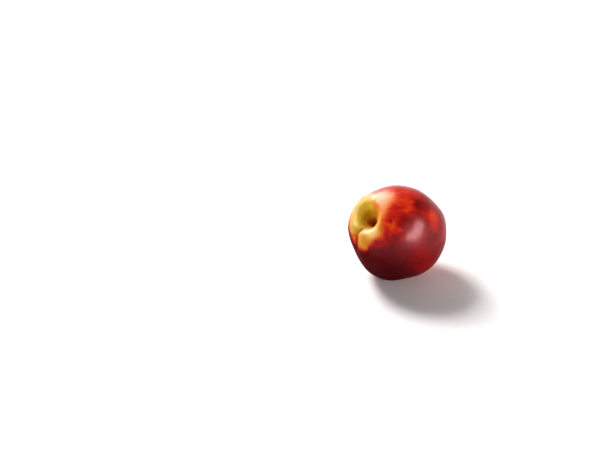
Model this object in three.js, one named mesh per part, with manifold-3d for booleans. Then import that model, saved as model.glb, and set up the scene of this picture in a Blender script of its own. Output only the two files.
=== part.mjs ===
// A nectarine: one smooth-skinned stone fruit, lying on its cheek with its stem end raised.
// Millimetres, +Z up. The origin is on the small flat spot that the fruit rests on,
// straight below its centre of mass.

import * as THREE from "three";
import { mergeVertices } from "three/addons/utils/BufferGeometryUtils.js";
import Module from "manifold-3d";

const wasm = await Module();
wasm.setup();

// ---- Driving dimensions, in millimetres and degrees ----
// The fruit's own frame has +Z toward the stem and +X toward the suture, the shallow
// crease that runs down one side from the stem to the tip. A place on the skin is given by
// two angles: polar, down from the stem, and around, from the suture toward +Y.

const ball = {
  sutureRadius: 34.1, // half width toward the suture
  crossRadius: 32.5, // half width across it
  stemHeight: 36.4, // from the middle to the top of the shoulders, if no cavity were sunk
  tipHeight: 33.1, // from the middle to the blossom end
  squareness: 2.12, // 2 is a plain ellipsoid, and more is fuller at the shoulders
};

// The cheeks that grew against a neighbour or a branch: each is a plane square to one
// direction, this far from the middle, that the skin is softly pressed back to.
const pressedCheeks = [
  { polar: 58, around: -130, reach: 32.1 },
  { polar: 63, around: -17, reach: 32.2 },
  { polar: 78, around: -157, reach: 31.7 },
  { polar: 102, around: -179, reach: 31.4 },
  { polar: 117, around: 44, reach: 32.3 },
  { polar: 128, around: 141, reach: 34.4 },
];
const pressGive = 0.75; // how much of what stands past a plane is pressed back
const pressSoftness = 1.2; // how gradually the press begins

const suture = {
  depth: 1.3, // of the broad groove at the shoulder
  width: 3.4,
  creaseDepth: 0.7, // of the sharp line along the middle of the groove
  creaseWidth: 1.1,
  cheekShare: 0.22, // how much of the groove is left past the shoulder
  start: 3.5, // the groove begins this far out from the axis
  full: 11.5, // and has its whole depth from here
  lobeSwell: 0.35, // one lobe beside the groove stands proud and the other sits back
  lobeWidth: 6,
};

const cavity = {
  depth: 10,
  long: 8.6, // half width of the mouth, lengthways
  short: 7.5, // half width of the mouth, across
  turn: 83, // where the long way points, round from the suture
  steepness: 2.2, // 2 is a bell shape, and more has a flatter floor and steeper walls
  centre: [1, -1.1], // of the mouth, beside the fruit's axis
  lean: [0.16, 0.22], // how far the floor slides aside for each millimetre of the bowl's depth
};

// The pit in the cavity's floor, where the stalk was joined.
const stalkPit = { depth: 3, radius: 3.4, steepness: 6 };

const tipPoint = { height: 1.3, radius: 4.5 };

// How it lies: the stem points left and forward, raised above level, and the roll turns the
// suture round the stem's axis. The middle of the fruit stands off the origin so that the
// weight is over the origin and the rest spot is cut about 0.6 mm up from the lowest point.
const rest = { stemHeading: 215.7, stemRise: 39.1, sutureRoll: -7.1 };
const middle = [0.4, 0.5, 33.7];

// Meridians crowd toward the suture, and rings toward the stem, where the detail is.
const meridians = 72;
const rings = 44;
const sutureCrowding = 0.42;
const stemCrowding = 1.28;

// ---- The skin ----

const radians = THREE.MathUtils.degToRad;
const smoothstep = THREE.MathUtils.smoothstep;
const bell = (distance, width, power = 2) => Math.exp(-((distance / width) ** power));

function direction(polar, around) {
  return new THREE.Vector3(
    Math.sin(polar) * Math.cos(around),
    Math.sin(polar) * Math.sin(around),
    Math.cos(polar),
  );
}

// The rounded body: an ellipsoid made a little squarer.
function ballPoint(polar, around) {
  const { sutureRadius, crossRadius, stemHeight, tipHeight, squareness } = ball;
  const wide = Math.hypot(sutureRadius * Math.cos(around), crossRadius * Math.sin(around));
  const high = Math.cos(polar) > 0 ? stemHeight : tipHeight;
  const acrossPart = Math.abs(Math.sin(polar) / wide) ** squareness;
  const upPart = Math.abs(Math.cos(polar) / high) ** squareness;
  return direction(polar, around).multiplyScalar((acrossPart + upPart) ** (-1 / squareness));
}

// How far the suture lowers the skin, less what the proud lobe raises it.
function sutureFall(point, polar, around) {
  const begun = smoothstep(point.x, suture.start, suture.full);
  const shoulder = smoothstep(Math.cos(polar), 0.35, 0.85);
  const share = suture.cheekShare + (1 - suture.cheekShare) * shoulder;
  const groove = suture.depth * share * bell(point.y, suture.width);
  const crease = suture.creaseDepth * shoulder * bell(point.y, suture.creaseWidth);
  const facing = Math.sin(polar) ** 2 * smoothstep(Math.cos(around), 0, 0.6);
  const swell = suture.lobeSwell * facing * Math.tanh(point.y / suture.lobeWidth);
  return begun * (groove + crease) - swell;
}

function pressCheeks(point) {
  for (const cheek of pressedCheeks) {
    const outward = direction(radians(cheek.polar), radians(cheek.around));
    const past = point.dot(outward) - cheek.reach;
    const pressed = pressSoftness * Math.log1p(Math.exp(past / pressSoftness));
    point.addScaledVector(outward, -pressGive * pressed);
  }
}

// How far the skin is sunk at this place on the shoulder: by the stem cavity's bowl, and by
// the pit in its floor.
function cavityDepth(point) {
  const turn = radians(cavity.turn);
  const dx = point.x - cavity.centre[0];
  const dy = point.y - cavity.centre[1];
  const along = (dx * Math.cos(turn) + dy * Math.sin(turn)) / cavity.long;
  const across = (dy * Math.cos(turn) - dx * Math.sin(turn)) / cavity.short;
  const bowl = cavity.depth * bell(Math.hypot(along, across), 1, cavity.steepness);
  const pit = stalkPit.depth * bell(Math.hypot(dx, dy), stalkPit.radius, stalkPit.steepness);
  return { bowl, pit };
}

function skinPoint(polar, around) {
  const point = ballPoint(polar, around);
  const fall = sutureFall(point, polar, around);
  point.multiplyScalar(1 - fall / point.length());
  pressCheeks(point);
  const stemward = smoothstep(Math.cos(polar), 0.2, 0.6);
  const tipward = smoothstep(-Math.cos(polar), 0.2, 0.6);
  const { bowl, pit } = cavityDepth(point);
  const tip = tipPoint.height * bell(Math.hypot(point.x, point.y), tipPoint.radius);
  point.x += stemward * cavity.lean[0] * bowl;
  point.y += stemward * cavity.lean[1] * bowl;
  point.z -= stemward * (bowl + pit) + tipward * tip;
  return point;
}

// ---- The solid ----

// A sphere's own grid, with every vertex moved out to the skin.
function fruitGeometry() {
  const geometry = new THREE.SphereGeometry(1, meridians, rings);
  geometry.deleteAttribute("normal");
  geometry.deleteAttribute("uv");
  geometry.rotateX(Math.PI / 2); // the sphere's poles go from Y to Z
  const position = geometry.getAttribute("position");
  const vertex = new THREE.Vector3();
  for (let i = 0; i < position.count; i++) {
    vertex.fromBufferAttribute(position, i).normalize();
    const evenPolar = Math.acos(THREE.MathUtils.clamp(vertex.z, -1, 1));
    const evenAround = Math.atan2(vertex.y, vertex.x);
    const polar = Math.PI * (evenPolar / Math.PI) ** stemCrowding;
    const around = evenAround - sutureCrowding * Math.sin(evenAround);
    position.setXYZ(i, ...skinPoint(polar, around));
  }
  return geometry;
}

// From the fruit's own frame to how it lies.
function lyingDown() {
  const heading = new THREE.Matrix4().makeRotationZ(radians(rest.stemHeading));
  const tilt = new THREE.Matrix4().makeRotationY(radians(90 - rest.stemRise));
  const roll = new THREE.Matrix4().makeRotationZ(radians(rest.sutureRoll));
  return new THREE.Matrix4().makeTranslation(...middle).multiply(heading).multiply(tilt).multiply(roll);
}

function toSolid(geometry) {
  const merged = mergeVertices(geometry, 1e-3);
  const vertProperties = new Float32Array(merged.getAttribute("position").array);
  const triVerts = new Uint32Array(merged.index.array);
  return new wasm.Manifold(new wasm.Mesh({ numProp: 3, vertProperties, triVerts }));
}

function toGeometry(solid) {
  const { vertProperties, triVerts } = solid.getMesh();
  const geometry = new THREE.BufferGeometry();
  geometry.setAttribute("position", new THREE.BufferAttribute(vertProperties, 3));
  geometry.setIndex(new THREE.BufferAttribute(triVerts, 1));
  geometry.computeVertexNormals();
  return geometry;
}

// Everything below the level it rests on, to be cut away.
function belowGround() {
  const size = 4 * ball.stemHeight;
  const box = new THREE.BoxGeometry(size, size, size);
  box.deleteAttribute("normal");
  box.deleteAttribute("uv");
  return box.translate(0, 0, -size / 2);
}

const fruit = toSolid(fruitGeometry().applyMatrix4(lyingDown()));
const resting = fruit.subtract(toSolid(belowGround()));

const skin = new THREE.MeshStandardMaterial({ color: 0xb5261f, roughness: 0.35, metalness: 0 });
const nectarine = new THREE.Mesh(toGeometry(resting), skin);
nectarine.name = "nectarine";

const part = new THREE.Group();
part.add(nectarine);

export default part;
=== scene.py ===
# %% [markdown]
# # A nectarine in Blender
#
# A nectarine is one smooth body with four things on it: a deep cavity where the stalk was, a
# shallow suture running down one side, a small point at the other end, and a skin whose colour
# goes from yellow to nearly black. This lesson builds the body from a formula, dresses its two
# scars, paints the skin with nodes, and lights it like a small studio set.
#
# First the plain packed model is loaded. It fixes the size and place of everything that follows.

import math

import bpy
import numpy as np
from mathutils import Matrix, Vector, noise


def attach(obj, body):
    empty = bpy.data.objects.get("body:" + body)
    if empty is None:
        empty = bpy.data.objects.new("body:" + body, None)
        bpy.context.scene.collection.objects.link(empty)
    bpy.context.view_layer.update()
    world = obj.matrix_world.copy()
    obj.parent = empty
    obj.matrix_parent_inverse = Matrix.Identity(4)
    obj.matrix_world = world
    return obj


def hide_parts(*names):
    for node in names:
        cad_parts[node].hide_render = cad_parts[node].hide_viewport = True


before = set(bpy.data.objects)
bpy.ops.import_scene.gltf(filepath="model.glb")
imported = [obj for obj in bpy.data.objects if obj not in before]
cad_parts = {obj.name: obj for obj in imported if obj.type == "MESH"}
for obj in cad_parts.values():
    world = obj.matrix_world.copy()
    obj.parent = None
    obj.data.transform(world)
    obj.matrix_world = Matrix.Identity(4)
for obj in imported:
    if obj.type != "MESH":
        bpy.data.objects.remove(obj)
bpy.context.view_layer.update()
print("packed pieces:", list(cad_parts))

# %% [markdown]
# ## How the fruit lies
#
# A round fruit is easiest to describe standing up, with its stem on the Z axis. Here the fruit's
# own frame has +Z toward the stem and +X toward the suture, in millimetres. One matrix then tips
# it on its cheek, moves it over its resting spot and turns millimetres into metres. Everything on
# the fruit is made in its own frame and goes through the same matrix.

# %% The resting pose
MM = 0.001
STEM_HEADING = 215.7  # degrees: the stem points left and forward
STEM_RISE = 39.1  # degrees above level
SUTURE_ROLL = -7.1  # degrees round the stem
MIDDLE = Vector((0.4, 0.5, 33.7))  # mm, from the resting spot to the fruit's middle

lying = (
    Matrix.Scale(MM, 4)
    @ Matrix.Translation(MIDDLE)
    @ Matrix.Rotation(math.radians(STEM_HEADING), 4, "Z")
    @ Matrix.Rotation(math.radians(90 - STEM_RISE), 4, "Y")
    @ Matrix.Rotation(math.radians(SUTURE_ROLL), 4, "Z")
)


def lay_down(points):
    """Moves an array of points from the fruit's frame, in mm, to where they lie, in metres."""
    turn = np.array(lying.to_3x3())
    return points @ turn.T + np.array(lying.translation)


print("stem direction:", [round(part, 2) for part in lying.to_3x3().col[2].normalized()])

# %% [markdown]
# ## Curves without edges
#
# Nothing on a fruit has an edge: each form fades into the next. Two curves do all the fading in
# this lesson. `ease` climbs from 0 to 1 in a smooth S, and `bell` is 1 in the middle and sinks to
# 0 on both sides. A place on the fruit is given by two angles: `polar` goes down from the stem,
# and `around` goes round from the suture. They suit a round body better than X, Y and Z.

# %% Soft steps, bells and directions
def ease(value, low, high):
    """0 below low, 1 above high, and a smooth S between."""
    share = np.clip((value - low) / (high - low), 0, 1)
    return share * share * (3 - 2 * share)


def bell(distance, width, power=2):
    """1 at no distance, 0.37 at one width, and soon 0 past that."""
    return np.exp(-((np.abs(distance) / width) ** power))


def direction(polar, around):
    flat = np.sin(polar)
    return np.stack([flat * np.cos(around), flat * np.sin(around), np.cos(polar)], -1)


print("a bell half a width from its middle:", round(float(bell(0.5, 1.0)), 2))

# %% [markdown]
# ## The body
#
# A sculpted sphere would do, but a formula is better here, because the solid model uses the same
# one and the two then agree everywhere. It is an ellipsoid made slightly squarer: a little wider
# toward the suture than across it, and taller at the stem than at the tip.

# %% The rounded body
SUTURE_RADIUS, CROSS_RADIUS = 34.1, 32.5  # half widths toward the suture and across it
STEM_HEIGHT, TIP_HEIGHT = 36.4, 33.1  # from the middle to each end
SQUARENESS = 2.12  # 2 is a plain ellipsoid, and more is fuller at the shoulders


def ball_points(polar, around):
    wide = np.hypot(SUTURE_RADIUS * np.cos(around), CROSS_RADIUS * np.sin(around))
    high = np.where(np.cos(polar) > 0, STEM_HEIGHT, TIP_HEIGHT)
    across_part = np.abs(np.sin(polar) / wide) ** SQUARENESS
    up_part = np.abs(np.cos(polar) / high) ** SQUARENESS
    reach = (across_part + up_part) ** (-1 / SQUARENESS)
    return direction(polar, around) * reach[..., None]


shoulder = ball_points(np.radians([45.0]), np.zeros(1))
print("from the middle to the shoulder, mm:", round(float(np.linalg.norm(shoulder)), 1))

# %% [markdown]
# ## Pressed cheeks
#
# Fruit grows against twigs and neighbours and is flattened there. Without such cheeks the outline
# is a circle, which is what gives a computer-made fruit away. A Boolean cut would leave them flat
# and sharp, so each is a plane instead, and what stands past it is pressed most of the way back.
# The logarithm lets the press begin softly.

# %% Press the cheeks
PRESSED_CHEEKS = [  # polar, around, distance of the plane from the middle
    (58, -130, 32.1),
    (63, -17, 32.2),
    (78, -157, 31.7),
    (102, -179, 31.4),
    (117, 44, 32.3),
    (128, 141, 34.4),
]
PRESS_GIVE = 0.75  # how much of what stands past a plane is pressed back
PRESS_SOFTNESS = 1.2  # mm over which the press begins


def press_cheeks(points):
    for polar, around, reach in PRESSED_CHEEKS:
        outward = direction(math.radians(polar), math.radians(around))
        past = points @ outward - reach
        pressed = PRESS_SOFTNESS * np.log1p(np.exp(past / PRESS_SOFTNESS))
        points = points - (PRESS_GIVE * pressed)[..., None] * outward
    return points


moved = np.linalg.norm(press_cheeks(shoulder) - shoulder)
print("cheeks:", len(PRESSED_CHEEKS), "the shoulder gave way by, mm:", round(float(moved), 2))

# %% [markdown]
# ## The suture
#
# The suture is the seam along which the blossom's folded leaf closed round the seed. It is a
# broad shallow groove with a sharp crease along its middle, deep at the shoulder and almost gone
# on the cheek, and one lobe beside it stands a little proud of the other. The groove is a bell
# across the seam, which blends into the body where a cut would leave a hard edge.

# %% How far the suture sinks
SUTURE_DEPTH, SUTURE_WIDTH = 1.3, 3.4
CREASE_DEPTH, CREASE_WIDTH = 0.7, 1.1
CHEEK_SHARE = 0.22  # how much of the groove is left past the shoulder
SHOULDER_END, SHOULDER_TOP = 0.35, 0.85  # cosines of polar between which the groove deepens
SUTURE_START, SUTURE_FULL = 3.5, 11.5  # distances out from the axis
LOBE_SWELL, LOBE_WIDTH = 0.35, 6.0
LOBE_FULL = 0.6  # the lobes are full where the cosine of around is over this


def suture_fall(points, polar, around):
    begun = ease(points[..., 0], SUTURE_START, SUTURE_FULL)
    shoulder = ease(np.cos(polar), SHOULDER_END, SHOULDER_TOP)
    share = CHEEK_SHARE + (1 - CHEEK_SHARE) * shoulder
    groove = SUTURE_DEPTH * share * bell(points[..., 1], SUTURE_WIDTH)
    crease = CREASE_DEPTH * shoulder * bell(points[..., 1], CREASE_WIDTH)
    facing = np.sin(polar) ** 2 * ease(np.cos(around), 0, LOBE_FULL)
    swell = LOBE_SWELL * facing * np.tanh(points[..., 1] / LOBE_WIDTH)
    return begun * (groove + crease) - swell


seam = suture_fall(shoulder, np.radians([45.0]), np.zeros(1))
print("depth of the seam at the shoulder, mm:", round(float(seam[0]), 2))

# %% [markdown]
# ## The stem cavity
#
# The flesh swelled up round the stalk and left it at the bottom of an oval bowl, a little beside
# the fruit's axis. The bowl leans: its floor slides aside as it goes down, so one wall is steeper
# than the other. A small steep pit in the floor is where the stalk was joined. Both are again
# bells, with a higher power where the wall has to be steeper.

# %% How deep the cavity is
CAVITY_DEPTH, CAVITY_LONG, CAVITY_SHORT = 10.0, 8.6, 7.5  # depth and half widths of the mouth
CAVITY_TURN = math.radians(83)  # where the long way points, round from the suture
CAVITY_STEEPNESS = 2.2
CAVITY_CENTRE = (1.0, -1.1)
PIT_DEPTH, PIT_RADIUS, PIT_STEEPNESS = 3.0, 3.4, 6


def cavity(points):
    """Depth of the bowl and of the pit in its floor."""
    dx = points[..., 0] - CAVITY_CENTRE[0]
    dy = points[..., 1] - CAVITY_CENTRE[1]
    along = (dx * math.cos(CAVITY_TURN) + dy * math.sin(CAVITY_TURN)) / CAVITY_LONG
    across = (dy * math.cos(CAVITY_TURN) - dx * math.sin(CAVITY_TURN)) / CAVITY_SHORT
    bowl = CAVITY_DEPTH * bell(np.hypot(along, across), 1, CAVITY_STEEPNESS)
    pit = PIT_DEPTH * bell(np.hypot(dx, dy), PIT_RADIUS, PIT_STEEPNESS)
    return np.stack([bowl, pit])


print("bowl and pit on the axis, mm:", cavity(np.zeros(3)).round(1).tolist())

# %% [markdown]
# ## The whole skin
#
# One function now puts the forms together, in the order in which each needs the one before: ball,
# suture, cheeks, then the cavity at one end and the low point of the blossom end at the other.

# %% From two angles to a point of the skin
CAVITY_LEAN = (0.16, 0.22)  # sideways slide for each millimetre of the bowl's depth
TIP_POINT, TIP_RADIUS = 1.3, 4.5
END_START, END_FULL = 0.2, 0.6  # cosines of polar between which each end's forms fade in


def skin(polar, around):
    """Points of the skin for arrays of angles, and how deep in the cavity each one is."""
    points = ball_points(polar, around)
    fall = suture_fall(points, polar, around)
    points = points * (1 - fall / np.linalg.norm(points, axis=-1))[..., None]
    points = press_cheeks(points)
    bowl, pit = cavity(points) * ease(np.cos(polar), END_START, END_FULL)
    from_axis = np.hypot(points[..., 0], points[..., 1])
    tip = TIP_POINT * bell(from_axis, TIP_RADIUS) * ease(-np.cos(polar), END_START, END_FULL)
    points[..., 0] += CAVITY_LEAN[0] * bowl
    points[..., 1] += CAVITY_LEAN[1] * bowl
    points[..., 2] -= bowl + pit + tip
    return points, bowl + pit


print("blossom end, mm below the middle:", round(-float(skin(np.pi * np.ones(1), np.zeros(1))[0][0, 2]), 1))

# %% [markdown]
# ## The fine mesh
#
# The skin is a closed grid of rings and meridians. An even grid would waste faces on the plain
# cheeks, so both crowd together where the detail is: rings toward the stem, meridians toward the
# suture.

# %% Lay out the grid
MERIDIANS, RINGS = 400, 224
SUTURE_CROWDING, STEM_CROWDING = 0.42, 1.28


def skin_angles():
    down = np.pi * (np.arange(RINGS + 1) / RINGS) ** STEM_CROWDING
    turn = 2 * np.pi * np.arange(MERIDIANS) / MERIDIANS
    turn = turn - SUTURE_CROWDING * np.sin(turn)
    return np.meshgrid(down, turn, indexing="ij")


polar, around = skin_angles()
print("grid of angles:", polar.shape)

# %% [markdown]
# ## What catches the light
#
# Over the smooth formula lie the small irregularities that bend a highlight: an uneven body a
# couple of tenths of a millimetre high, finer ripples, and faint puckers that run into the cavity
# like pleats. A bump map would fake them, but real vertices are moved here, so that they are also
# in the mesh itself.

# %% Uneven the skin
UNEVEN_HEIGHT, UNEVEN_SIZE = 0.22, 13.0  # mm
RIPPLE_HEIGHT, RIPPLE_SIZE = 0.05, 4.5
PUCKER_HEIGHT, PUCKERS = 0.03, 19
PUCKER_PLACE, PUCKER_SPREAD = 9.5, 4.0  # distance out from the cavity's middle
PUCKER_WANDER, PUCKER_WANDER_SIZE = 2.5, 9.0  # how far the pleats stray, and in bumps how wide
NOISE_SHIFT = Vector((17.3, 5.1, 9.7))  # takes each seed to another part of the noise


def waves(points, size, seed):
    """A smooth random height between -1 and 1 at each point, in bumps about this wide."""
    shift = NOISE_SHIFT * seed
    heights = [noise.noise(Vector(point) / size + shift) for point in points.reshape(-1, 3)]
    return np.array(heights).reshape(points.shape[:-1])


def relief(points, around):
    """Height of the small irregularities, in mm."""
    uneven = UNEVEN_HEIGHT * waves(points, UNEVEN_SIZE, seed=1)
    ripple = RIPPLE_HEIGHT * waves(points, RIPPLE_SIZE, seed=2)
    from_middle = np.hypot(points[..., 0] - CAVITY_CENTRE[0], points[..., 1] - CAVITY_CENTRE[1])
    wander = PUCKER_WANDER * waves(points, PUCKER_WANDER_SIZE, seed=3)
    near = bell(from_middle - PUCKER_PLACE, PUCKER_SPREAD) * (points[..., 2] > 0)
    pleats = PUCKER_HEIGHT * np.sin(PUCKERS * around + wander) * near
    return uneven + ripple + pleats


def uneven_skin(polar, around):
    """The skin with its irregularities, and the depth of each point in the cavity."""
    points, depth = skin(polar, around)
    outward = points / np.linalg.norm(points, axis=-1)[..., None]
    return points + outward * relief(points, around)[..., None], depth


places, depths = uneven_skin(polar, around)
print("deepest point of the cavity, mm:", round(depths.max(), 1))

# %% [markdown]
# ## From grids to meshes
#
# A sphere's grid ends in two single points, joined to their first ring by triangles. All pieces of
# this fruit are such closed grids, so two helpers give the faces and the vertices of any of them.

# %% Faces and vertices of a closed grid
def closed_faces(rings, steps):
    """Faces of a closed grid: a point, rings of this many steps, and a point."""
    faces = []
    last = 1 + (rings - 1) * steps
    for step in range(steps):
        after = (step + 1) % steps
        faces.append((0, 1 + step, 1 + after))
        faces.append((last, last - steps + after, last - steps + step))
        for ring in range(rings - 2):
            here = 1 + ring * steps
            faces.append((here + step, here + steps + step, here + steps + after, here + after))
    return faces


def open_grid(values):
    """The values of a closed grid in the order of its vertices."""
    middle = values[1:-1].reshape(-1, *values.shape[2:])
    return np.concatenate([values[:1, 0], middle, values[-1:, 0]])


print("vertices of the skin:", len(open_grid(places)))

# %% [markdown]
# ## The fruit
#
# The mesh is made straight from the points, and the flat spot is made by holding every vertex at
# floor level or above. Three facts are stored on each vertex for the painting later: its place in
# the fruit's frame, the direction it had on the plain ball, and its depth in the cavity. Colour
# that is read from stored facts travels with the mesh and can't slide when the fruit is moved.

# %% Make the fruit
def make_piece(name, vertices, faces):
    mesh = bpy.data.meshes.new(name)
    mesh.from_pydata(vertices.tolist(), [], faces)
    mesh.polygons.foreach_set("use_smooth", [True] * len(mesh.polygons))
    mesh.update()
    piece = bpy.data.objects.new(name, mesh)
    bpy.context.scene.collection.objects.link(piece)
    return piece


def store(mesh, name, values):
    """Keeps one number or one vector for each vertex."""
    kind, field = ("FLOAT_VECTOR", "vector") if values.ndim == 2 else ("FLOAT", "value")
    stored = mesh.attributes.new(name, kind, "POINT")
    stored.data.foreach_set(field, values.astype(np.float32).ravel())


resting = lay_down(open_grid(places))
resting[:, 2] = np.maximum(resting[:, 2], 0)  # the flat spot it rests on
fruit = make_piece("Nectarine", resting, closed_faces(RINGS, MERIDIANS))
store(fruit.data, "fruit_place", open_grid(places))
store(fruit.data, "ball_direction", open_grid(direction(polar, around)))
store(fruit.data, "cavity_depth", open_grid(depths))
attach(fruit, "root")
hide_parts("nectarine")
print("fruit:", len(fruit.data.vertices), "vertices,", len(fruit.data.polygons), "faces")

# %% [markdown]
# ## The stalk scar
#
# A picked nectarine has lost its stalk. What is left at the bottom of the cavity is a disc of torn
# wood about five millimetres across: a corky rim, a sunken plate with fibres running outward, and
# a knot in the middle where the veins went down to the stone. It could be painted on, but it is a
# hard thing in a soft hollow, and its rim catches light. So it is a small closed grid of its own,
# laid on the pit's floor, and its height is a sum of bells over the distance from the middle.

# %% The scar's height
SCAR_PLATE = 0.10  # heights over the pit's floor, in mm
SCAR_RIM, SCAR_RIM_UNEVEN = 0.55, 0.28
SCAR_KNOT, SCAR_FIBRES = 0.50, 0.14
RIM_PLACE, RIM_WIDTH = 0.78, 0.14  # shares of the scar's radius
KNOT_WIDTH, FIBRES_PLACE, FIBRES_WIDTH = 0.22, 0.5, 0.30
CIRCLE_BUMPS = 6  # bumps of noise, each 1 wide, that fit round a circle of radius 1


def round_noise(turn, lobes, seed):
    """A smooth random value round a circle, with about this many lobes."""
    circle = np.stack([np.cos(turn), np.sin(turn), np.full_like(turn, seed)], -1)
    return waves(circle * lobes / CIRCLE_BUMPS, 1.0, seed)


def scar_height(share, turn):
    """Height over the floor at a share of the radius: rim, plate, knot and fibres."""
    rim = SCAR_RIM + SCAR_RIM_UNEVEN * round_noise(turn, lobes=20, seed=4)
    rim = rim * bell(share - RIM_PLACE, RIM_WIDTH)
    knot = SCAR_KNOT * bell(share, KNOT_WIDTH, 3)
    fibres = SCAR_FIBRES * round_noise(turn, lobes=80, seed=5) * bell(share - FIBRES_PLACE, FIBRES_WIDTH)
    return SCAR_PLATE + rim + knot + fibres


print("height of the knot, mm:", round(float(scar_height(np.zeros(1), np.zeros(1))[0]), 2))

# %% [markdown]
# The scar's top follows the height, and its underside is sunk into the fruit, so no gap can show.
# Its grain is stored as a place of its own: noise that is read there comes out as spokes.

# %% Make the stalk scar
SCAR_RADIUS = 2.4
SCAR_RINGS, SCAR_STEPS = 26, 144
SCAR_SUNK = 0.4  # how far the underside is below the pit's floor
SCAR_EDGE_SUNK = 0.1
SCAR_OUTLINE_UNEVEN = 0.07
SPOKES_ROUND, SPOKES_ALONG = 5, 1.5  # size of the grain's own space, round the disc and outward


def pit_floor(dx, dy):
    """Points of the pit's floor that were this far from the cavity's middle before it leaned."""
    x, y = CAVITY_CENTRE[0] + dx, CAVITY_CENTRE[1] + dy
    return uneven_skin(np.arcsin(np.hypot(x, y) / STEM_HEIGHT), np.arctan2(y, x))[0]


def stalk_scar():
    turn = 2 * np.pi * np.arange(SCAR_STEPS) / SCAR_STEPS
    share, turn = np.meshgrid(np.linspace(0, 1, SCAR_RINGS), turn, indexing="ij")
    outline = 1 + SCAR_OUTLINE_UNEVEN * round_noise(turn, lobes=24, seed=6)
    reach = SCAR_RADIUS * share * outline
    floor = pit_floor(reach * np.cos(turn), reach * np.sin(turn))
    top, under = floor.copy(), floor.copy()
    top[..., 2] += np.where(share < 1, scar_height(share, turn), -SCAR_EDGE_SUNK)
    under[..., 2] -= SCAR_SUNK
    grid = np.concatenate([top, under[::-1]])
    spokes = [SPOKES_ROUND * np.cos(turn), SPOKES_ROUND * np.sin(turn), SPOKES_ALONG * share]
    spokes = np.stack(spokes, -1)
    faces = closed_faces(len(grid) - 1, SCAR_STEPS)
    piece = make_piece("Stalk_scar", lay_down(open_grid(grid)), faces)
    store(piece.data, "fruit_place", open_grid(grid))
    store(piece.data, "grain_place", open_grid(np.concatenate([spokes, spokes[::-1]])))
    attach(piece, "root")
    return piece


scar = stalk_scar()
print("stalk scar:", len(scar.data.polygons), "faces")

# %% [markdown]
# ## The dry style
#
# The other end of the fruit keeps the last of its blossom: the style, the thread that once carried
# pollen down to the seed, dried to a dark crooked stub on the very point of the tip. A curve with
# a bevel would make a neat wire. This one is a short tube of rings whose middle wanders, thick at
# the foot, pinched above it and broken off at the top.

# %% The style's profile
STYLE_FOOT = (-0.60, 0.0, 0.00)  # height over the tip, radius and sideways drift, in mm
STYLE_PROFILE = [
    (-0.60, 1.10, 0.00),
    (-0.10, 1.05, 0.00),
    (0.15, 0.72, 0.00),
    (0.40, 0.46, 0.03),
    (0.75, 0.36, 0.09),
    (1.10, 0.34, 0.19),
    (1.40, 0.37, 0.32),
    (1.55, 0.30, 0.40),
]
STYLE_BREAK = (1.38, 0.0, 0.38)  # the middle of the broken end, a little sunk

print("height of the dry style, mm:", STYLE_PROFILE[-1][0])

# %% [markdown]
# Each ring is roughened a little, and the last ones are torn. The grain runs along the thread: the
# place that its noise is read in is stretched round the thread and squeezed along it. One level of
# subdivision then rounds the steps between the rings.

# %% Make the dry style
STYLE_STEPS = 40
STYLE_ROUGHNESS = 0.16  # share of the radius
BREAK_RAGGED, BREAK_FROM = 0.12, 1.5  # mm, torn by this much, above this height
GRAIN_ROUND, GRAIN_ALONG = 3, 0.3


def dry_style():
    tip = uneven_skin(np.array([[np.pi]]), np.array([[0.0]]))[0][0, 0]
    turn = 2 * np.pi * np.arange(STYLE_STEPS) / STYLE_STEPS
    rows = []
    for height, radius, drift in [STYLE_FOOT, *STYLE_PROFILE, STYLE_BREAK]:
        rough = radius * (1 + STYLE_ROUGHNESS * round_noise(turn, lobes=26, seed=7 + height))
        across = [rough * np.cos(turn) + drift, rough * np.sin(turn) - drift / 2]
        ragged_top = BREAK_RAGGED * round_noise(turn, lobes=30, seed=8) * (height > BREAK_FROM)
        rows.append(np.stack([*across, -height - ragged_top], -1))
    grid = np.array(rows)[::-1] + tip
    grain = GRAIN_ROUND * np.stack([np.cos(turn), np.sin(turn), 0 * turn], -1)
    grain = grain[None] + GRAIN_ALONG * grid
    faces = closed_faces(len(grid) - 1, STYLE_STEPS)
    piece = make_piece("Dry_style", lay_down(open_grid(grid)), faces)
    store(piece.data, "fruit_place", open_grid(grid))
    store(piece.data, "grain_place", open_grid(grain))
    rounding = piece.modifiers.new("round", "SUBSURF")
    rounding.levels = rounding.render_levels = 1
    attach(piece, "root")
    return piece


style = dry_style()
print("dry style:", len(style.data.polygons), "faces")

# %% [markdown]
# ## Painting with nodes
#
# The skin is painted by shader nodes, with no picture file, so it stays sharp however close the
# camera comes. Wiring dozens of nodes by hand is slow, so a small helper adds each node and
# connects or sets its inputs in one line. Sizes are in millimetres, because the stored places are.

# %% A helper for node trees
class Nodes:
    """Adds nodes to a material or a world. Its methods return the new node's output."""

    def __init__(self, owner, shader):
        owner.use_nodes = True
        self.tree = owner.node_tree
        self.shader = self.tree.nodes[shader]

    def feed(self, socket, value):
        if isinstance(value, bpy.types.NodeSocket):
            self.tree.links.new(value, socket)
        else:
            socket.default_value = value

    def add(self, kind, inputs, output=0, **settings):
        made = self.tree.nodes.new("ShaderNode" + kind)
        for setting, choice in settings.items():
            setattr(made, setting, choice)
        for name, value in inputs.items():
            self.feed(made.inputs[name], value)
        return made.outputs[output]

    def math(self, operation, first, second=0.0):
        return self.add("Math", {0: first, 1: second}, operation=operation)

    def ease(self, value, low, high, start=0.0, end=1.0):
        """start where value is under low, end where it is over high, and an S between."""
        inputs = {"Value": value, "From Min": low, "From Max": high, "To Min": start, "To Max": end}
        return self.add("MapRange", inputs, interpolation_type="SMOOTHSTEP")


print("helper for nodes:", [name for name in vars(Nodes) if not name.startswith("_")])

# %% [markdown]
# A material needs a few more kinds of node: the facts stored on the mesh, sums of vectors, and
# mixes of numbers and colours. Low and high may change places in `ease`, which then goes down.

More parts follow.
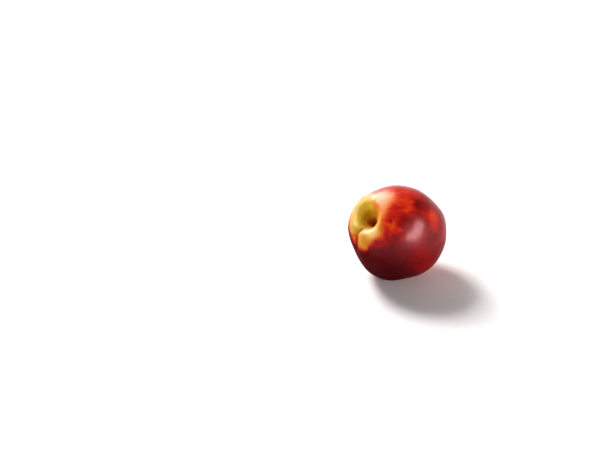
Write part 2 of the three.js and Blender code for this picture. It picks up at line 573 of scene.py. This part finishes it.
# %% A helper for materials
class Paint(Nodes):
    """A new material, with the nodes that painting needs."""

    def __init__(self, name):
        self.material = bpy.data.materials.new(name)
        super().__init__(self.material, "Principled BSDF")

    def stored(self, name, output="Vector"):
        return self.add("Attribute", {}, output, attribute_name=name)

    def add_times(self, start, value, factor):
        """start plus value times factor."""
        return self.add("Math", {0: value, 1: factor, 2: start}, operation="MULTIPLY_ADD")

    def vector(self, operation, first, second):
        return self.add("VectorMath", {0: first, 1: second}, operation=operation)

    def scaled(self, vector, factor):
        return self.add("VectorMath", {0: vector, "Scale": factor}, operation="SCALE")

    def along(self, vector, aim):
        """How far a vector points along another: the cosine between them if both are 1 long."""
        return self.add("VectorMath", {0: vector, 1: aim}, "Value", operation="DOT_PRODUCT")

    def blend(self, share, first, second):
        """Mixes two numbers."""
        return self.add("Mix", {0: share, 2: first, 3: second}, 0, data_type="FLOAT")

    def mix(self, share, under, over):
        """Lays one colour over another."""
        return self.add("Mix", {0: share, 6: under, 7: over}, 2, data_type="RGBA")


paint = Paint("nectarine_skin")
place = paint.stored("fruit_place")
facing = paint.stored("ball_direction")
depth = paint.stored("cavity_depth", "Fac")
print("facts read from the mesh:", [fact.node.attribute_name for fact in (place, facing, depth)])

# %% [markdown]
# ## One pigment over a yellow ground
#
# A nectarine's skin has a yellow ground, and one red pigment laid over it, thin or thick. Thin
# pigment looks orange, thicker looks scarlet, then crimson, then maroon. So the painting has two
# steps. First every point gets a single number, its blush, from 0 to 1. Then one colour ramp turns
# blush into colour. Borders between yellow and red then pass through orange by themselves, as on
# the tree, where separately painted colours would blend into mud.

# %% The blush ramp
def colour(red, green, blue):
    """A screen colour, 0 to 255, as the linear light that shaders use."""
    screen = np.array([red, green, blue]) / 255
    linear = np.where(screen <= 0.04045, screen / 12.92, ((screen + 0.055) / 1.055) ** 2.4)
    return (*linear.tolist(), 1.0)


BLUSH_RAMP = [
    (0.00, colour(166, 140, 72)),  # pale yellow ground
    (0.14, colour(206, 155, 50)),  # golden
    (0.30, colour(200, 116, 40)),  # orange
    (0.43, colour(208, 82, 34)),  # orange red
    (0.56, colour(196, 50, 31)),  # scarlet
    (0.70, colour(162, 30, 28)),  # crimson
    (0.84, colour(128, 20, 26)),  # dark crimson
    (1.00, colour(88, 17, 23)),  # maroon
]


def blush_to_colour(paint, blush):
    made = paint.tree.nodes.new("ShaderNodeValToRGB")
    paint.feed(made.inputs[0], blush)
    stops = made.color_ramp.elements
    for stop in list(stops)[1:]:
        stops.remove(stop)
    stops[0].position, stops[0].color = BLUSH_RAMP[0]
    for position, shade in BLUSH_RAMP[1:]:
        stops.new(position).color = shade
    return made.outputs["Color"]


print("stops from yellow to maroon:", len(BLUSH_RAMP))

# %% [markdown]
# ## Streaks and clouds
#
# Pigment forms along the fruit's own fibres, so it lies in fine streaks that follow the meridians
# and crowd together at the stem. Noise in space would give round blotches. Here it is read on a
# circle round the axis instead, with the height squeezed, which draws each blotch out lengthways.
# Two plain noises, clouds and a finer mottle, break the streaks up again.

# %% Noise of two kinds
def cloudy(paint, place, size, detail=2.0, roughness=0.5, shift=0.0):
    """Noise between 0 and 1 in patches about this many mm wide."""
    moved = paint.vector("ADD", place, (shift, shift, shift))
    inputs = {"Vector": moved, "Scale": 1 / size, "Detail": detail, "Roughness": roughness}
    return paint.add("TexNoise", inputs)


def streaks(paint, facing, per_turn, squeeze, detail):
    """Noise between 0 and 1 in streaks from stem to tip."""
    level = paint.vector("MULTIPLY", facing, (1, 1, 0))
    circle = paint.add("VectorMath", {0: level}, operation="NORMALIZE")
    circle = paint.scaled(circle, per_turn / (2 * math.pi))
    height = paint.vector("MULTIPLY", facing, (0, 0, squeeze))
    return cloudy(paint, paint.vector("ADD", circle, height), 1.0, detail, 0.6)


broad_streaks = streaks(paint, facing, per_turn=56, squeeze=3.5, detail=3.0)
fine_streaks = streaks(paint, facing, per_turn=190, squeeze=5.0, detail=2.0)
clouds = cloudy(paint, place, size=11.0, detail=3.0, roughness=0.55)
mottle = cloudy(paint, place, size=2.2, detail=3.0, roughness=0.6, shift=40.0)
print("nodes for four noises:", len(paint.tree.nodes))

# %% [markdown]
# ## Where the sun reached
#
# The blush is laid down in patches. Each one is a cap of the ball: a direction, how far it
# spreads, how soft its edge is and the blush it brings. Later patches cover earlier ones. The
# shaded shoulder beside the stem stays yellow, the side toward the sun is nearly black, and
# scarlet pools lie between. Noise shifts the edges along the streaks, so that they fray.
#
# The patches could be painted by hand on an unwrapped skin. A list of caps keeps the same freedom
# and stays a few lines that anyone can read and change.

# %% Patches of blush
BASE_BLUSH = 0.78
PATCHES = [  # polar, around, spread, edge (degrees), blush, raggedness of the edge
    (92, -112, 30, 40, 0.34, 1.2),  # the cheek that a leaf shaded
    (120, -40, 34, 40, 0.88, 0.8),  # dark lower cheek
    (140, 170, 26, 34, 0.58, 1.0),  # scarlet toward the tip
    (174, 0, 16, 34, 0.26, 1.4),  # orange star round the tip
    (74, 40, 38, 42, 1.00, 0.6),  # the sunny cheek
    (52, -22, 20, 24, 0.88, 0.8),  # dark shoulder on one side of the suture
    (100, 104, 22, 34, 0.84, 0.8),  # where the sunny cheek ends
    (46, 164, 20, 28, 0.57, 1.0),  # scarlet shoulder across from the suture
    (61, 147, 7, 18, 0.80, 0.6),  # a dark band below it
    (79, 138, 10, 18, 0.47, 0.5),  # and a bright pool below the band
    (24, 112, 19, 16, 0.53, 1.0),  # scarlet ring round the cavity
    (44, 150, 7, 16, 0.44, 1.6),  # brighter flecks in the ring
    (37, 108, 3, 14, 0.34, 1.8),
    (29, 134, 6, 13, 0.68, 0.8),  # darker pools in it
    (31, 74, 9, 14, 0.62, 0.8),
    (13, 172, 16, 14, 0.26, 0.6),  # orange between the ring and the cavity
    (27, -172, 14, 14, 0.34, 0.6),
    (26, -92, 21, 19, 0.04, 0.9),  # yellow shoulder
    (34, -108, 8, 16, 0.20, 0.5),  # golden toward its edge
    (16, -25, 15, 14, 0.08, 0.5),  # its end beside the crease
    (15, 46, 16, 17, 0.08, 0.6),  # the lip on the other side of the crease
    (26, 17, 9, 16, 0.13, 0.6),  # yellow wedge below the lip
]

print("large patches:", len(PATCHES))

# %% [markdown]
# A point is inside a patch where the angle from the patch's middle is less than its spread. Noise
# from the streaks is added to that angle, in degrees, which frays the edge. Round caps would still
# look like caps, so the direction that the large patches are read in is pushed about by wider
# noise, which takes their roundness away.

# %% Lay the large patches
RAGGED_DEGREES = 5.0
RAGGED_MEAN = 1.5  # what the three noises in it come to on average
DRIFT_SIZE, DRIFT_AMOUNT = 10.0, 0.08  # mm, and share of the ball's radius


def angle_from(paint, facing, aim):
    """Degrees between each point's direction and one direction."""
    return paint.math("DEGREES", paint.math("ARCCOSINE", paint.along(facing, aim)))


def lay_patches(paint, patches, blush, facing, ragged):
    """Lays patches over a blush. ragged is noise, in degrees, that shifts their edges."""
    for polar_deg, around_deg, spread, edge, level, raggedness in patches:
        aim = direction(math.radians(polar_deg), math.radians(around_deg)).tolist()
        angle = paint.add_times(angle_from(paint, facing, aim), ragged, raggedness)
        inside = paint.ease(angle, spread + edge / 2, spread - edge / 2)
        blush = paint.blend(inside, blush, level)
    return blush


def unsteady(paint, facing, place, size, amount, shift):
    """The facing direction pushed about by noise."""
    inputs = {"Vector": paint.vector("ADD", place, (shift, shift, shift)), "Scale": 1 / size}
    push = paint.add("TexNoise", {**inputs, "Detail": 1.0, "Roughness": 0.5}, "Color")
    push = paint.vector("SUBTRACT", push, (0.5, 0.5, 0.5))
    return paint.vector("ADD", facing, paint.scaled(push, amount))


ragged = paint.math("ADD", paint.math("ADD", broad_streaks, broad_streaks), clouds)
ragged = paint.math("MULTIPLY", paint.math("SUBTRACT", ragged, RAGGED_MEAN), RAGGED_DEGREES)
drifting = unsteady(paint, facing, place, DRIFT_SIZE, DRIFT_AMOUNT, shift=60.0)
blush = lay_patches(paint, PATCHES, BASE_BLUSH, drifting, ragged)
print("nodes so far:", len(paint.tree.nodes))

# %% [markdown]
# Pushing a direction about also makes it a little too long or too short. Near the middle of a
# patch the angle read from it is then wrong by several degrees, and a patch that is only a few
# degrees wide could vanish. The small ones are therefore laid last, on the true direction.

# %% Lay the small patches
SMALL_PATCHES = [
    (37, -3, 2.5, 6, 0.46, 0.3),  # orange tongue over the crease
    # painted light: the golden foot is paler than its own colour, to stand in for light beside the crease
    (32, -8, 4, 8, 0.22, 0.3),  # and its golden foot
    (25, 20, 3, 9, 0.12, 0.6),  # the clear middle of the wedge
    (31, -107, 5, 12, 0.30, 0.5),  # touches of orange on the yellow shoulder
    (33, -64, 5, 12, 0.28, 0.5),
]

blush = lay_patches(paint, SMALL_PATCHES, blush, facing, ragged)
print("patches laid:", len(PATCHES) + len(SMALL_PATCHES))

# %% [markdown]
# ## Streaked and freckled blush
#
# The noises now go into the blush itself, so that a dark streak is thicker pigment and not grey
# paint. They count for less where there is little pigment to vary. Here and there the red also
# breaks into freckles a little lighter than the skin round them.

# %% Vary the blush
VARIATIONS = [(broad_streaks, 0.14), (fine_streaks, 0.13), (clouds, 0.18), (mottle, 0.15)]
THIN_BLUSH, THICK_BLUSH, LEAST_VARIATION = 0.15, 0.55, 0.35
FRECKLE_SPACING, FRECKLE_RADIUS, FRECKLE_BLUSH = 1.5, 0.5, -0.16
FRECKLED_SIZE, FRECKLED_CLOUD = 17.0, (0.48, 0.66)  # mm across an area that has freckles
FRECKLED_BLUSH = (0.22, 0.42)
DOT_CORE = 0.4  # a dot is solid to this share of its radius


def dots(paint, place, spacing, radius):
    """1 in small round dots about this far apart, and 0 between."""
    inputs = {"Vector": place, "Scale": 1 / spacing}
    distance = paint.add("TexVoronoi", inputs, "Distance")
    return paint.ease(distance, radius / spacing, DOT_CORE * radius / spacing)


thickness = paint.ease(blush, THIN_BLUSH, THICK_BLUSH, LEAST_VARIATION, 1.0)
for variation, amount in VARIATIONS:
    centred = paint.math("MULTIPLY", paint.math("SUBTRACT", variation, 0.5), thickness)
    blush = paint.add_times(blush, centred, amount)

freckled = paint.ease(cloudy(paint, place, FRECKLED_SIZE, 1.0, shift=80.0), *FRECKLED_CLOUD)
freckled = paint.math("MULTIPLY", freckled, paint.ease(blush, *FRECKLED_BLUSH))
freckles = paint.math("MULTIPLY", dots(paint, place, FRECKLE_SPACING, FRECKLE_RADIUS), freckled)
blush = paint.add_times(blush, freckles, FRECKLE_BLUSH)
skin_colour = blush_to_colour(paint, blush)
print("the blush varies by up to", sum(amount for _, amount in VARIATIONS) / 2, "each way")

# %% [markdown]
# ## Green in the ground
#
# Where there is hardly any pigment the ground shows, and it isn't one yellow: it is still a little
# green in streaks, where the fruit was slow to ripen. The green is laid on only where the blush is
# nearly nothing, and not in the cavity, which gets colours of its own.

# %% Greenish streaks on bare ground
GREEN_GROUND = colour(174, 160, 54)
BARE_BLUSH = (0.22, 0.05)  # no green over the first, all of it under the second
GREEN_STREAKS, GREEN_COVER = (0.42, 0.66), 0.7
GREEN_DEPTHS = (1.5, 0.3)  # mm into the cavity: none past the first

greenish = paint.ease(broad_streaks, *GREEN_STREAKS, 0.0, GREEN_COVER)
greenish = paint.math("MULTIPLY", paint.ease(blush, *BARE_BLUSH), greenish)
greenish = paint.math("MULTIPLY", greenish, paint.ease(depth, *GREEN_DEPTHS))
skin_colour = paint.mix(greenish, skin_colour, GREEN_GROUND)
print("nodes so far:", len(paint.tree.nodes))

# %% [markdown]
# ## The cavity's mouth
#
# The sun hardly reaches into the cavity, so from the mouth down the red gives way to yellow. The
# depth was stored on every vertex, so the change follows the real wall, and streaks make it
# uneven. Beside the crease two soft pale round spots are a painted highlight on the lips: they
# stand in for the reflection of the lamps there.

# %% Yellow mouth and a painted highlight on the lips
LIP_YELLOW = colour(200, 166, 32)
LIP_DEPTHS = (1.0, 3.2)  # mm, where the colour begins and where it covers
# painted highlight: two pale spots on the lips beside the crease stand in for the lamps' reflection
PAINTED_LIP_HIGHLIGHTS = [  # polar, around, colour
    (15, 28, colour(188, 162, 120)),
    (20, 60, colour(246, 200, 142)),
]
LIP_HIGHLIGHT_REACH, LIP_HIGHLIGHT_FULL, LIP_HIGHLIGHT_COVER = 11.5, 2.0, 0.8  # degrees from the middle, and strength
DEPTH_UNEVEN = 1.4  # mm

uneven_depth = paint.add_times(depth, paint.math("SUBTRACT", broad_streaks, 0.5), DEPTH_UNEVEN)
skin_colour = paint.mix(paint.ease(uneven_depth, *LIP_DEPTHS), skin_colour, LIP_YELLOW)
# lay the painted highlight over the lips
for polar_deg, around_deg, pale in PAINTED_LIP_HIGHLIGHTS:
    aim = direction(math.radians(polar_deg), math.radians(around_deg)).tolist()
    lip_highlight = paint.ease(angle_from(paint, facing, aim), LIP_HIGHLIGHT_REACH, LIP_HIGHLIGHT_FULL, 0.0, LIP_HIGHLIGHT_COVER)
    skin_colour = paint.mix(lip_highlight, skin_colour, pale)
print("pale spots on the lips:", len(PAINTED_LIP_HIGHLIGHTS))

# %% [markdown]
# ## The wall and the pit
#
# Further down the wall turns olive, with an orange side below the red ring, and the pit at the
# bottom is brown, where the stalk tore off and the skin turned corky. The orange side is painted
# darker than its own colour, as painted shade on that wall. Each colour covers the one before it
# between two depths.

# %% Olive wall, orange side with painted shade, and brown pit
WALL_OLIVE, OLIVE_DEPTHS = colour(182, 130, 10), (3.2, 6.5)
# painted shade: the orange of that side is made darker to stand in for the shade on the wall
SHADED_WALL_ORANGE, ORANGE_DEPTHS = colour(178, 98, 34), (1.0, 3.0)
WALL_BROWN, BROWN_DEPTHS = colour(184, 114, 34), (8.5, 11.0)
PIT_BROWN, PIT_DEPTHS = colour(156, 94, 60), (10.6, 12.4)
ORANGE_SIDE = direction(math.radians(90), math.radians(130)).tolist()
ORANGE_EDGE, ORANGE_COVER = 0.13, 0.8  # how far toward that side it covers, and how strongly

skin_colour = paint.mix(paint.ease(uneven_depth, *OLIVE_DEPTHS), skin_colour, WALL_OLIVE)
orange = paint.ease(paint.along(facing, ORANGE_SIDE), 0.0, ORANGE_EDGE)
orange = paint.math("MULTIPLY", orange, paint.ease(uneven_depth, *ORANGE_DEPTHS))
skin_colour = paint.mix(paint.math("MULTIPLY", orange, ORANGE_COVER), skin_colour, SHADED_WALL_ORANGE)
skin_colour = paint.mix(paint.ease(uneven_depth, *BROWN_DEPTHS), skin_colour, WALL_BROWN)
skin_colour = paint.mix(paint.ease(uneven_depth, *PIT_DEPTHS), skin_colour, PIT_BROWN)
print("nodes so far:", len(paint.tree.nodes))

# %% [markdown]
# ## Russet round the style
#
# At the blossom end a small ring of russet surrounds the dry style. It is cork, as in the pit: the
# skin's answer to a wound. Its edge is broken by the mottle.

# %% Russet
RUSSET = colour(150, 108, 62)
RUSSET_SPREAD, RUSSET_SOFTNESS = 10.0, 4.0  # degrees from the tip
RUSSET_UNEVEN, RUSSET_COVER = 5.0, 0.85

from_tip = paint.add_times(angle_from(paint, facing, (0, 0, -1)), mottle, RUSSET_UNEVEN)
russet = paint.ease(from_tip, RUSSET_SPREAD, RUSSET_SPREAD - RUSSET_SOFTNESS, 0.0, RUSSET_COVER)
skin_colour = paint.mix(russet, skin_colour, RUSSET)
print("nodes so far:", len(paint.tree.nodes))

# %% [markdown]
# ## Lenticels
#
# Over everything lie the lenticels, the skin's breathing pores: pale dots a few tenths of a
# millimetre wide. They come from cells of noise, one dot to a cell, and a wide cloud makes them
# stand out in some places and nearly vanish in others, as they do on a real fruit.

# %% Pale pores
LENTICEL = colour(232, 178, 118)
PORE_SPACING, PORE_RADIUS = 2.6, 0.24
PORE_CLOUD_SIZE, PORE_CLOUD = 9.0, (0.35, 0.65)
PORES_FAINT, PORES_PLAIN = 0.15, 0.6
PORE_DEPTHS = (3.0, 0.5)  # mm into the cavity: none past the first

pores = dots(paint, place, PORE_SPACING, PORE_RADIUS)
shown = cloudy(paint, place, PORE_CLOUD_SIZE, detail=1.0, shift=120.0)
shown = paint.ease(shown, *PORE_CLOUD, PORES_FAINT, PORES_PLAIN)
shown = paint.math("MULTIPLY", shown, paint.ease(depth, *PORE_DEPTHS))
skin_colour = paint.mix(paint.math("MULTIPLY", pores, shown), skin_colour, LENTICEL)
paint.feed(paint.shader.inputs["Base Color"], skin_colour)
print("pores are about", PORE_SPACING, "mm apart")

# %% [markdown]
# ## Gloss
#
# Nectarine skin has no fuzz, but it isn't a mirror: a thin wax breaks the reflections up. The base
# reflection is fairly soft and varies with the mottle, and it goes dull inside the cavity, where
# nothing has rubbed the skin. A weak coat adds a tighter gleam outside. The roughness stays above
# 0.28, because the filter that cleans the render takes anything glossier for a mirror and leaves
# dark specks in it.

# %% Wax
ROUGHNESS_LOW, ROUGHNESS_HIGH, ROUGHNESS_CAVITY = 0.285, 0.40, 0.60
ROUGHNESS_MOTTLE = (0.3, 0.75)  # the noise between which it goes from low to high
DULL_DEPTHS = (0.3, 4.0)  # mm into the cavity: fully dull past the second
COAT, COAT_DEPTHS = 0.2, (0.2, 2.5)

roughness = paint.ease(mottle, *ROUGHNESS_MOTTLE, ROUGHNESS_LOW, ROUGHNESS_HIGH)
roughness = paint.blend(paint.ease(depth, *DULL_DEPTHS), roughness, ROUGHNESS_CAVITY)
paint.feed(paint.shader.inputs["Roughness"], roughness)
paint.feed(paint.shader.inputs["Coat Weight"], paint.ease(depth, *COAT_DEPTHS, COAT, 0.0))
paint.shader.inputs["Coat Roughness"].default_value = 0.16
paint.shader.inputs["Coat IOR"].default_value = 1.4
paint.shader.inputs["IOR"].default_value = 1.43
paint.shader.inputs["Specular IOR Level"].default_value = 0.3
print("roughness from", ROUGHNESS_LOW, "to", ROUGHNESS_CAVITY)

# %% [markdown]
# ## Fine bump and soft flesh
#
# A very low bump of pores, grain, streaks and dimples, a few hundredths of a millimetre, frays the
# edges of each highlight. It is too fine to be worth moving vertices for. Some light also goes
# through the skin into the flesh and comes out warmer, which subsurface scattering imitates.

# %% Bump and flesh
PORE_HEIGHT, GRAIN_HEIGHT, RIDGE_HEIGHT, DIMPLE_HEIGHT = 0.008, 0.010, 0.06, 0.06  # mm
GRAIN_SIZE = 0.5

pore_height = paint.math("MULTIPLY", pores, PORE_HEIGHT)
grain = paint.math("MULTIPLY", cloudy(paint, place, GRAIN_SIZE), GRAIN_HEIGHT)
ridges = paint.math("MULTIPLY", fine_streaks, RIDGE_HEIGHT)
dimples = paint.math("MULTIPLY", mottle, DIMPLE_HEIGHT)
small, large = paint.math("ADD", pore_height, grain), paint.math("ADD", ridges, dimples)
surface = {"Height": paint.math("ADD", small, large), "Strength": 1.0, "Distance": MM}
paint.feed(paint.shader.inputs["Normal"], paint.add("Bump", surface))

paint.shader.inputs["Subsurface Weight"].default_value = 0.12
paint.shader.inputs["Subsurface Radius"].default_value = (1.0, 0.35, 0.15)
paint.shader.inputs["Subsurface Scale"].default_value = 2.0 * MM
fruit.data.materials.append(paint.material)
print("nodes in the skin:", len(paint.tree.nodes))

# %% [markdown]
# ## Torn wood and dry thread
#
# Both scars are dead plant tissue, so they have no gloss: brown, paler where they have weathered,
# with dark fibres. One function paints both, and only the colours and the size of the grain
# differ.

# %% Paint the two scars
WEATHERED_NOISE, WEATHERED_HEIGHT = (0.32, 0.66), 0.05  # where it begins and is full, and mm
FIBRE_NOISE, FIBRE_HEIGHT, FIBRE_COVER = (0.34, 0.62), 0.10, 0.6
WOOD_ROUGHNESS = (0.72, 0.92)  # between the fibres and on them


def paint_dead_wood(piece, name, dark, light, grain_size):
    wood = Paint(name)
    weathered = cloudy(wood, wood.stored("fruit_place"), grain_size, 4.0, 0.65)
    weathered = wood.ease(weathered, *WEATHERED_NOISE)
    fibres = wood.ease(cloudy(wood, wood.stored("grain_place"), 1.0, 3.0, 0.6), *FIBRE_NOISE)
    shade = wood.mix(weathered, dark, light)
    shade = wood.mix(wood.math("MULTIPLY", fibres, FIBRE_COVER), shade, dark)
    wood.feed(wood.shader.inputs["Base Color"], shade)
    wood.feed(wood.shader.inputs["Roughness"], wood.ease(fibres, 0.0, 1.0, *WOOD_ROUGHNESS))
    raised = wood.math("MULTIPLY", weathered, WEATHERED_HEIGHT)
    height = wood.math("SUBTRACT", raised, wood.math("MULTIPLY", fibres, FIBRE_HEIGHT))
    bump = wood.add("Bump", {"Height": height, "Strength": 1.0, "Distance": MM})
    wood.feed(wood.shader.inputs["Normal"], bump)
    wood.shader.inputs["Specular IOR Level"].default_value = 0.3
    piece.data.materials.append(wood.material)


paint_dead_wood(scar, "torn_stalk_wood", colour(92, 52, 32), colour(176, 126, 84), 1.3)
paint_dead_wood(style, "dry_thread", colour(62, 40, 28), colour(150, 114, 80), 0.6)
print("scars painted:", scar.data.materials[0].name, style.data.materials[0].name)

# %% [markdown]
# ## The floor
#
# A plain white board, big enough that its edges stay out of sight. It is a little rough, so that
# the fruit shows no reflection in it. It isn't part of the fruit.

# %% Make the floor
FLOOR_SIZE = 2.6  # m


def square(centre, width, depth, height):
    """The corners of a level rectangle."""
    corners = [(-1, -1), (1, -1), (1, 1), (-1, 1)]
    return np.array([(centre[0] + a * width / 2, centre[1] + b * depth / 2, height) for a, b in corners])


def stage_board(name, corners, shade, roughness, specular):
    piece = make_piece(name, corners, [(0, 1, 2, 3)])
    board = Paint(name)
    board.shader.inputs["Base Color"].default_value = shade
    board.shader.inputs["Roughness"].default_value = roughness
    board.shader.inputs["Specular IOR Level"].default_value = specular
    piece.data.materials.append(board.material)
    return piece


floor_corners = square((0, 0), FLOOR_SIZE, FLOOR_SIZE, 0)
stage_board("floor", floor_corners, colour(243, 241, 240), 0.75, 0.2)
print("floor, m:", FLOOR_SIZE)

# %% [markdown]
# ## Lamps
#
# One lamp could do all the work, but then its size would settle both how soft the shadow is and
# how large the highlight is. Blender can hide a lamp from soft light or from reflections, as if a
# studio could switch them apart, so each job has a lamp of its own:
#
# - `key`, high on the left and behind, lights the fruit and makes the one shadow.
# - `fill`, low in front on the right, and `left_fill`, low in front on the left, lift the shaded
#   side. None of these three is reflected.
# - `glow`, larger and nearly in the key's direction, is the broad reflection beside the cavity.
# - `low_back` is the pale sheen along the top edge.
# - `panel`, turned a little like a leaning window, is the streak on the sunny cheek. These three
#   are only reflected, so they add no second shadow.

# %% Place the lamps
fruit_middle = MIDDLE * MM


def softbox(name, toward, distance, width, height, power, hidden_from, lean):
    """A rectangular light that faces the fruit's middle, leaned by some degrees."""
    lamp = bpy.data.lights.new(name, "AREA")
    lamp.shape = "RECTANGLE"
    lamp.size, lamp.size_y = width, height
    lamp.energy = power
    box = bpy.data.objects.new(name, lamp)
    bpy.context.scene.collection.objects.link(box)
    box.location = fruit_middle + Vector(toward).normalized() * distance
    aim = Vector(toward).to_track_quat("Z", "Y").to_matrix()
    box.rotation_euler = (aim @ Matrix.Rotation(math.radians(lean), 3, "Z")).to_euler()
    box.visible_camera = False
    box.visible_glossy = hidden_from != "reflections"
    box.visible_diffuse = hidden_from != "soft light"


LAMPS = [  # name, direction from the fruit, distance, width, height (m), watts, hidden from, lean
    ("key", (-0.486, 0.478, 0.731), 2.4, 1.0, 1.0, 52, "reflections", 0),
    ("glow", (-0.54, 0.46, 0.705), 2.4, 2.4, 2.2, 168, "soft light", 0),
    ("low_back", (-0.49, 0.85, 0.21), 2.4, 1.75, 1.1, 7, "soft light", 0),
    ("panel", (0.72, -0.64, 0.20), 1.2, 1.2, 0.54, 20.5, "soft light", 38),
    ("fill", (0.80, -0.50, 0.18), 1.2, 1.0, 0.45, 7, "reflections", 0),
    ("left_fill", (-0.75, -0.55, 0.24), 2.4, 2.2, 1.2, 11, "reflections", 0),
]

for lamp_facts in LAMPS:
    softbox(*lamp_facts)
print("lamps:", len(LAMPS), "watts in all:", sum(facts[5] for facts in LAMPS))

# %% [markdown]
# ## Cards on the table
#
# The lower half of a glossy fruit mirrors the table it lies on. On a white table it would turn
# milky there. In a real studio a dark card is laid beside the fruit, just out of view, to keep its
# colour deep. Here the cards can lie right under it, because only reflections see them.

# %% Lay the cards
def reflected_card(name, shade, centre, width, depth, height):
    """A card lying on the table that only reflections see."""
    card = stage_board(name, square(centre, width, depth, height), shade, 0.9, 0.5)
    card.visible_camera = False
    card.visible_diffuse = False
    card.visible_shadow = False


CARDS = [  # name, shade, middle, width, depth, height over the table (m)
    ("black_card", colour(80, 60, 60), (-0.07, 0.02), 0.15, 0.17, 0.0005),
    ("grey_card", colour(170, 160, 160), (0.025, -0.03), 0.13, 0.15, 0.0003),
]

for card_facts in CARDS:
    reflected_card(*card_facts)
print("cards:", [facts[0] for facts in CARDS])

# %% [markdown]
# ## The room
#
# Round the set stands a white room. It is bright in a band at the horizon, where its walls meet
# the floor, and behind the fruit, and dim overhead, where a ceiling would be. An even white world
# would be simpler, but it flattens a round thing. The brightness is worked out from the direction
# in the world, so it stays where it is when the camera moves.

# %% Light the room
BAND, WALLS, OVERHEAD, BACK_WALL = 0.75, 0.27, 0.08, 0.45  # brightness of each
BAND_LOW, BAND_HIGH = 0.08, 0.22  # the band fades out between these heights of a direction
WALLS_LOW, WALLS_HIGH = 0.15, 0.75  # and the walls between these
BACK_START, BACK_FULL = 0.35, 0.85  # how far back a direction points where the back wall begins

world = bpy.data.worlds.new("white_room")
bpy.context.scene.world = world
room = Nodes(world, "Background")
axes = room.add("SeparateXYZ", {0: room.add("TexCoord", {}, "Generated")}).node.outputs
band = room.ease(axes["Z"], BAND_LOW, BAND_HIGH, BAND - WALLS, 0.0)
walls = room.ease(axes["Z"], WALLS_LOW, WALLS_HIGH, WALLS, OVERHEAD)
back_wall = room.ease(axes["Y"], BACK_START, BACK_FULL, 0.0, BACK_WALL)
brightness = room.math("ADD", room.math("ADD", band, walls), back_wall)
room.feed(room.shader.inputs["Strength"], brightness)
room.shader.inputs["Color"].default_value = (1, 1, 1, 1)
print("brightness at the horizon:", BAND, "and overhead:", OVERHEAD)

# %% [markdown]
# ## From light to picture
#
# Blender's usual view transform, AgX, tames bright light by fading colours toward white, which
# would wash out a red this deep. `Standard` keeps the colours of the paint, and a high contrast
# look gives the clean whites and deep shades of a studio picture.

# %% Choose the view transform
view = bpy.context.scene.view_settings
view.view_transform = "Standard"
view.look = "High Contrast"
print("view:", view.view_transform, "with", view.look)

# %% [markdown]
# ## The camera
#
# A long lens from a little over a metre away, looking down at thirty degrees, keeps the fruit's
# proportions true. The camera doesn't aim at the fruit: it is moved sideways and up so that the
# fruit's middle falls at its own place in the 600 by 450 picture, which keeps the lens straight.

# %% Place the camera
LENS_MM, SENSOR_MM = 100.0, 36.0
PICTURE = (600, 450)
FRUIT_PIXEL = (398.1, 232.0)  # where the fruit's middle falls
CAMERA_RISE = math.radians(30)
CAMERA_DISTANCE = 1.153  # m

camera_data = bpy.data.cameras.new("camera")
camera_data.lens, camera_data.sensor_width = LENS_MM, SENSOR_MM
camera = bpy.data.objects.new("camera", camera_data)
bpy.context.scene.collection.objects.link(camera)
bpy.context.scene.camera = camera

right = Vector((1, 0, 0))
up = Vector((0, math.sin(CAMERA_RISE), math.cos(CAMERA_RISE)))
back = right.cross(up)
metres_per_pixel = CAMERA_DISTANCE * SENSOR_MM / LENS_MM / PICTURE[0]
sideways = (FRUIT_PIXEL[0] - PICTURE[0] / 2) * metres_per_pixel
upward = (PICTURE[1] / 2 - FRUIT_PIXEL[1]) * metres_per_pixel
camera.location = fruit_middle + back * CAMERA_DISTANCE - right * sideways - up * upward
camera.rotation_euler = Matrix((right, up, back)).transposed().to_euler()
print("camera at", [round(part, 3) for part in camera.location])

# %% [markdown]
# ## The fruit's size
#
# The dressed fruit must be as large as the packed model, whatever was done to its skin.
